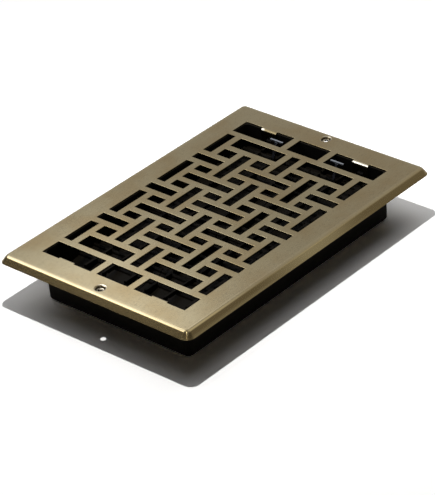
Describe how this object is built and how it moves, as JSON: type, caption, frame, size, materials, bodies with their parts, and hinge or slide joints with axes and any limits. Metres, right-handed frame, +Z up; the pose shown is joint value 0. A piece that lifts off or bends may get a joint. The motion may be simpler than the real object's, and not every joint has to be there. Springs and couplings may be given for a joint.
{
  "type": "floor register",
  "caption": "Floor register with a basket-weave lattice face plate, a drop-in damper box and two banks of louvers, each worked by its own thumb lever.",
  "frame": {"origin": "middle of the damper box's underside", "axes": "+X across the face, +Y along it towards the lever end, +Z up out of the floor"},
  "size_m": [0.197, 0.2966, 0.0437],
  "materials": {
    "plate": "brushed antique brass plating on pressed steel",
    "moulding": "black moulded",
    "lever": "zinc plated"
  },
  "bodies": {
    "housing": {"face_plate": "plate", "damper_box": "moulding"},
    "louver_left_01": {"louver_left_01": "moulding"},
    "louver_left_02": {"louver_left_02": "moulding"},
    "louver_left_03": {"louver_left_03": "moulding"},
    "louver_left_04": {"louver_left_04": "moulding"},
    "louver_left_05": {"louver_left_05": "moulding"},
    "louver_left_06": {"louver_left_06": "moulding"},
    "louver_left_07": {"louver_left_07": "moulding"},
    "louver_left_08": {"louver_left_08": "moulding"},
    "louver_left_09": {"louver_left_09": "moulding"},
    "louver_left_10": {"louver_left_10": "moulding"},
    "louver_left_11": {"louver_left_11": "moulding"},
    "louver_left_12": {"louver_left_12": "moulding"},
    "louver_left_13": {"louver_left_13": "moulding"},
    "louver_left_14": {"louver_left_14": "moulding"},
    "link_left": {"link_bar_left": "moulding", "thumb_lever_left": "lever"},
    "louver_right_01": {"louver_right_01": "moulding"},
    "louver_right_02": {"louver_right_02": "moulding"},
    "louver_right_03": {"louver_right_03": "moulding"},
    "louver_right_04": {"louver_right_04": "moulding"},
    "louver_right_05": {"louver_right_05": "moulding"},
    "louver_right_06": {"louver_right_06": "moulding"},
    "louver_right_07": {"louver_right_07": "moulding"},
    "louver_right_08": {"louver_right_08": "moulding"},
    "louver_right_09": {"louver_right_09": "moulding"},
    "louver_right_10": {"louver_right_10": "moulding"},
    "louver_right_11": {"louver_right_11": "moulding"},
    "louver_right_12": {"louver_right_12": "moulding"},
    "louver_right_13": {"louver_right_13": "moulding"},
    "louver_right_14": {"louver_right_14": "moulding"},
    "link_right": {"link_bar_right": "moulding", "thumb_lever_right": "lever"}
  },
  "joints": [
    {"name": "damper_left", "type": "hinge", "parent": "housing", "child": "louver_left_01", "pos_m": [-0.03165, 0.11472, 0.0218], "axis": [1, 0, 0], "range_deg": [0, 66]},
    {"name": "louver_left_02_pivot", "type": "hinge", "parent": "housing", "child": "louver_left_02", "pos_m": [-0.03165, 0.09812, 0.0218], "axis": [1, 0, 0], "range_deg": [0, 66]},
    {"name": "louver_left_03_pivot", "type": "hinge", "parent": "housing", "child": "louver_left_03", "pos_m": [-0.03165, 0.08152, 0.0218], "axis": [1, 0, 0], "range_deg": [0, 66]},
    {"name": "louver_left_04_pivot", "type": "hinge", "parent": "housing", "child": "louver_left_04", "pos_m": [-0.03165, 0.06492, 0.0218], "axis": [1, 0, 0], "range_deg": [0, 66]},
    {"name": "louver_left_05_pivot", "type": "hinge", "parent": "housing", "child": "louver_left_05", "pos_m": [-0.03165, 0.04832, 0.0218], "axis": [1, 0, 0], "range_deg": [0, 66]},
    {"name": "louver_left_06_pivot", "type": "hinge", "parent": "housing", "child": "louver_left_06", "pos_m": [-0.03165, 0.03172, 0.0218], "axis": [1, 0, 0], "range_deg": [0, 66]},
    {"name": "louver_left_07_pivot", "type": "hinge", "parent": "housing", "child": "louver_left_07", "pos_m": [-0.03165, 0.01512, 0.0218], "axis": [1, 0, 0], "range_deg": [0, 66]},
    {"name": "louver_left_08_pivot", "type": "hinge", "parent": "housing", "child": "louver_left_08", "pos_m": [-0.03165, -0.00148, 0.0218], "axis": [1, 0, 0], "range_deg": [0, 66]},
    {"name": "louver_left_09_pivot", "type": "hinge", "parent": "housing", "child": "louver_left_09", "pos_m": [-0.03165, -0.01808, 0.0218], "axis": [1, 0, 0], "range_deg": [0, 66]},
    {"name": "louver_left_10_pivot", "type": "hinge", "parent": "housing", "child": "louver_left_10", "pos_m": [-0.03165, -0.03468, 0.0218], "axis": [1, 0, 0], "range_deg": [0, 66]},
    {"name": "louver_left_11_pivot", "type": "hinge", "parent": "housing", "child": "louver_left_11", "pos_m": [-0.03165, -0.05128, 0.0218], "axis": [1, 0, 0], "range_deg": [0, 66]},
    {"name": "louver_left_12_pivot", "type": "hinge", "parent": "housing", "child": "louver_left_12", "pos_m": [-0.03165, -0.06788, 0.0218], "axis": [1, 0, 0], "range_deg": [0, 66]},
    {"name": "louver_left_13_pivot", "type": "hinge", "parent": "housing", "child": "louver_left_13", "pos_m": [-0.03165, -0.08448, 0.0218], "axis": [1, 0, 0], "range_deg": [0, 66]},
    {"name": "louver_left_14_pivot", "type": "hinge", "parent": "housing", "child": "louver_left_14", "pos_m": [-0.03165, -0.10108, 0.0218], "axis": [1, 0, 0], "range_deg": [0, 66]},
    {"name": "link_left_pivot", "type": "hinge", "parent": "louver_left_01", "child": "link_left", "pos_m": [-0.03165, 0.11731, 0.0258], "axis": [1, 0, 0], "range_deg": [-66, 0]},
    {"name": "damper_right", "type": "hinge", "parent": "housing", "child": "louver_right_01", "pos_m": [0.03165, 0.11472, 0.0218], "axis": [1, 0, 0], "range_deg": [0, 66]},
    {"name": "louver_right_02_pivot", "type": "hinge", "parent": "housing", "child": "louver_right_02", "pos_m": [0.03165, 0.09812, 0.0218], "axis": [1, 0, 0], "range_deg": [0, 66]},
    {"name": "louver_right_03_pivot", "type": "hinge", "parent": "housing", "child": "louver_right_03", "pos_m": [0.03165, 0.08152, 0.0218], "axis": [1, 0, 0], "range_deg": [0, 66]},
    {"name": "louver_right_04_pivot", "type": "hinge", "parent": "housing", "child": "louver_right_04", "pos_m": [0.03165, 0.06492, 0.0218], "axis": [1, 0, 0], "range_deg": [0, 66]},
    {"name": "louver_right_05_pivot", "type": "hinge", "parent": "housing", "child": "louver_right_05", "pos_m": [0.03165, 0.04832, 0.0218], "axis": [1, 0, 0], "range_deg": [0, 66]},
    {"name": "louver_right_06_pivot", "type": "hinge", "parent": "housing", "child": "louver_right_06", "pos_m": [0.03165, 0.03172, 0.0218], "axis": [1, 0, 0], "range_deg": [0, 66]},
    {"name": "louver_right_07_pivot", "type": "hinge", "parent": "housing", "child": "louver_right_07", "pos_m": [0.03165, 0.01512, 0.0218], "axis": [1, 0, 0], "range_deg": [0, 66]},
    {"name": "louver_right_08_pivot", "type": "hinge", "parent": "housing", "child": "louver_right_08", "pos_m": [0.03165, -0.00148, 0.0218], "axis": [1, 0, 0], "range_deg": [0, 66]},
    {"name": "louver_right_09_pivot", "type": "hinge", "parent": "housing", "child": "louver_right_09", "pos_m": [0.03165, -0.01808, 0.0218], "axis": [1, 0, 0], "range_deg": [0, 66]},
    {"name": "louver_right_10_pivot", "type": "hinge", "parent": "housing", "child": "louver_right_10", "pos_m": [0.03165, -0.03468, 0.0218], "axis": [1, 0, 0], "range_deg": [0, 66]},
    {"name": "louver_right_11_pivot", "type": "hinge", "parent": "housing", "child": "louver_right_11", "pos_m": [0.03165, -0.05128, 0.0218], "axis": [1, 0, 0], "range_deg": [0, 66]},
    {"name": "louver_right_12_pivot", "type": "hinge", "parent": "housing", "child": "louver_right_12", "pos_m": [0.03165, -0.06788, 0.0218], "axis": [1, 0, 0], "range_deg": [0, 66]},
    {"name": "louver_right_13_pivot", "type": "hinge", "parent": "housing", "child": "louver_right_13", "pos_m": [0.03165, -0.08448, 0.0218], "axis": [1, 0, 0], "range_deg": [0, 66]},
    {"name": "louver_right_14_pivot", "type": "hinge", "parent": "housing", "child": "louver_right_14", "pos_m": [0.03165, -0.10108, 0.0218], "axis": [1, 0, 0], "range_deg": [0, 66]},
    {"name": "link_right_pivot", "type": "hinge", "parent": "louver_right_01", "child": "link_right", "pos_m": [0.03165, 0.11731, 0.0258], "axis": [1, 0, 0], "range_deg": [-66, 0]}
  ],
  "couplings": [
    {"joint": "louver_left_02_pivot", "follows": "damper_left", "ratio": 1},
    {"joint": "louver_left_03_pivot", "follows": "damper_left", "ratio": 1},
    {"joint": "louver_left_04_pivot", "follows": "damper_left", "ratio": 1},
    {"joint": "louver_left_05_pivot", "follows": "damper_left", "ratio": 1},
    {"joint": "louver_left_06_pivot", "follows": "damper_left", "ratio": 1},
    {"joint": "louver_left_07_pivot", "follows": "damper_left", "ratio": 1},
    {"joint": "louver_left_08_pivot", "follows": "damper_left", "ratio": 1},
    {"joint": "louver_left_09_pivot", "follows": "damper_left", "ratio": 1},
    {"joint": "louver_left_10_pivot", "follows": "damper_left", "ratio": 1},
    {"joint": "louver_left_11_pivot", "follows": "damper_left", "ratio": 1},
    {"joint": "louver_left_12_pivot", "follows": "damper_left", "ratio": 1},
    {"joint": "louver_left_13_pivot", "follows": "damper_left", "ratio": 1},
    {"joint": "louver_left_14_pivot", "follows": "damper_left", "ratio": 1},
    {"joint": "link_left_pivot", "follows": "damper_left", "ratio": -1},
    {"joint": "louver_right_02_pivot", "follows": "damper_right", "ratio": 1},
    {"joint": "louver_right_03_pivot", "follows": "damper_right", "ratio": 1},
    {"joint": "louver_right_04_pivot", "follows": "damper_right", "ratio": 1},
    {"joint": "louver_right_05_pivot", "follows": "damper_right", "ratio": 1},
    {"joint": "louver_right_06_pivot", "follows": "damper_right", "ratio": 1},
    {"joint": "louver_right_07_pivot", "follows": "damper_right", "ratio": 1},
    {"joint": "louver_right_08_pivot", "follows": "damper_right", "ratio": 1},
    {"joint": "louver_right_09_pivot", "follows": "damper_right", "ratio": 1},
    {"joint": "louver_right_10_pivot", "follows": "damper_right", "ratio": 1},
    {"joint": "louver_right_11_pivot", "follows": "damper_right", "ratio": 1},
    {"joint": "louver_right_12_pivot", "follows": "damper_right", "ratio": 1},
    {"joint": "louver_right_13_pivot", "follows": "damper_right", "ratio": 1},
    {"joint": "louver_right_14_pivot", "follows": "damper_right", "ratio": 1},
    {"joint": "link_right_pivot", "follows": "damper_right", "ratio": -1}
  ]
}
